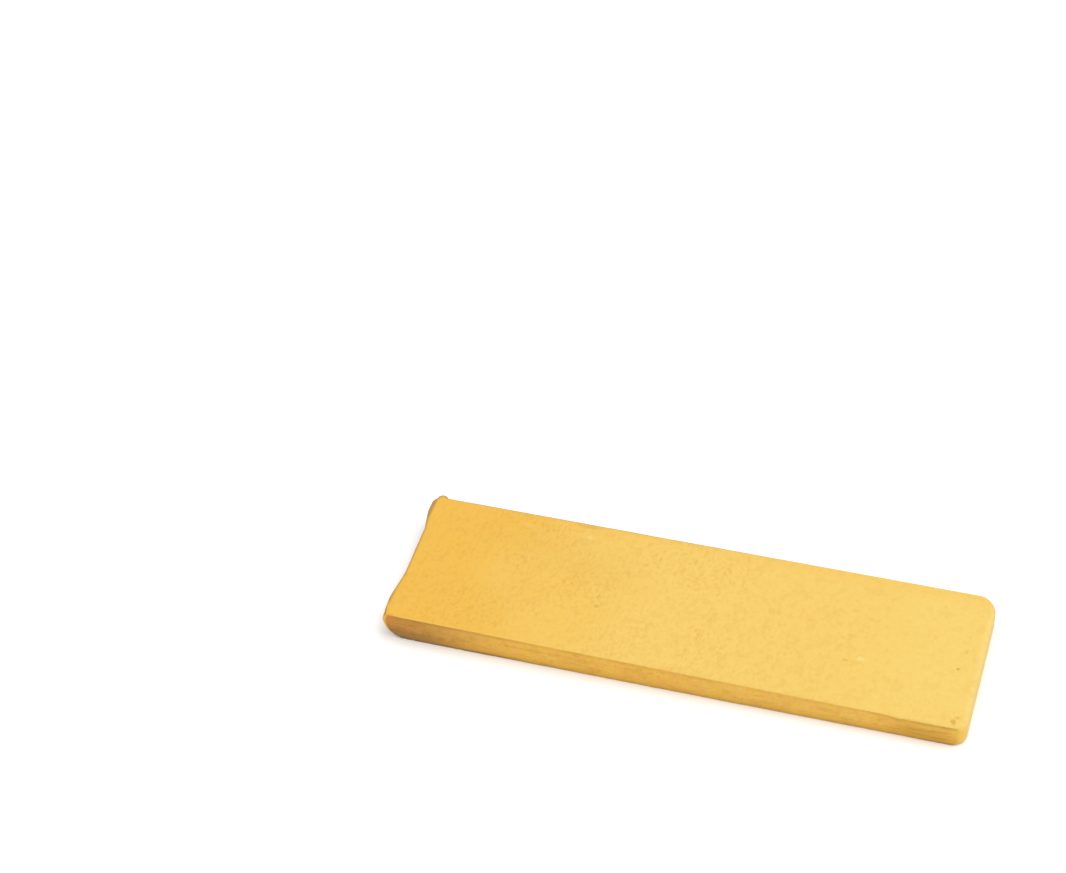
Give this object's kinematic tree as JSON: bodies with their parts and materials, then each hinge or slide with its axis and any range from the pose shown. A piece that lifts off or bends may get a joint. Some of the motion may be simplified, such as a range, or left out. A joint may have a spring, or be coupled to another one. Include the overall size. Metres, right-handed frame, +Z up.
{
  "type": "grout float",
  "caption": "Handle-less grout float: a flat slab pressed from sheets of soft gum rubber, square at the moulded end and hollow at the cut end.",
  "frame": {"origin": "on the lower face, in the middle of the slab's length and width", "axes": "+X runs along the slab from the cut end to the moulded end, +Y across it to the edge with the ear, +Z up from the lower face through the thickness"},
  "size_m": [0.176, 0.0558, 0.009],
  "materials": {
    "gum_rubber": "matt yellow-orange gum rubber, pale on the pressed faces and browner on the sides and the torn cut end"
  },
  "bodies": {
    "root": {"top_ply": "gum_rubber", "middle_ply": "gum_rubber", "bottom_ply": "gum_rubber"}
  },
  "joints": []
}
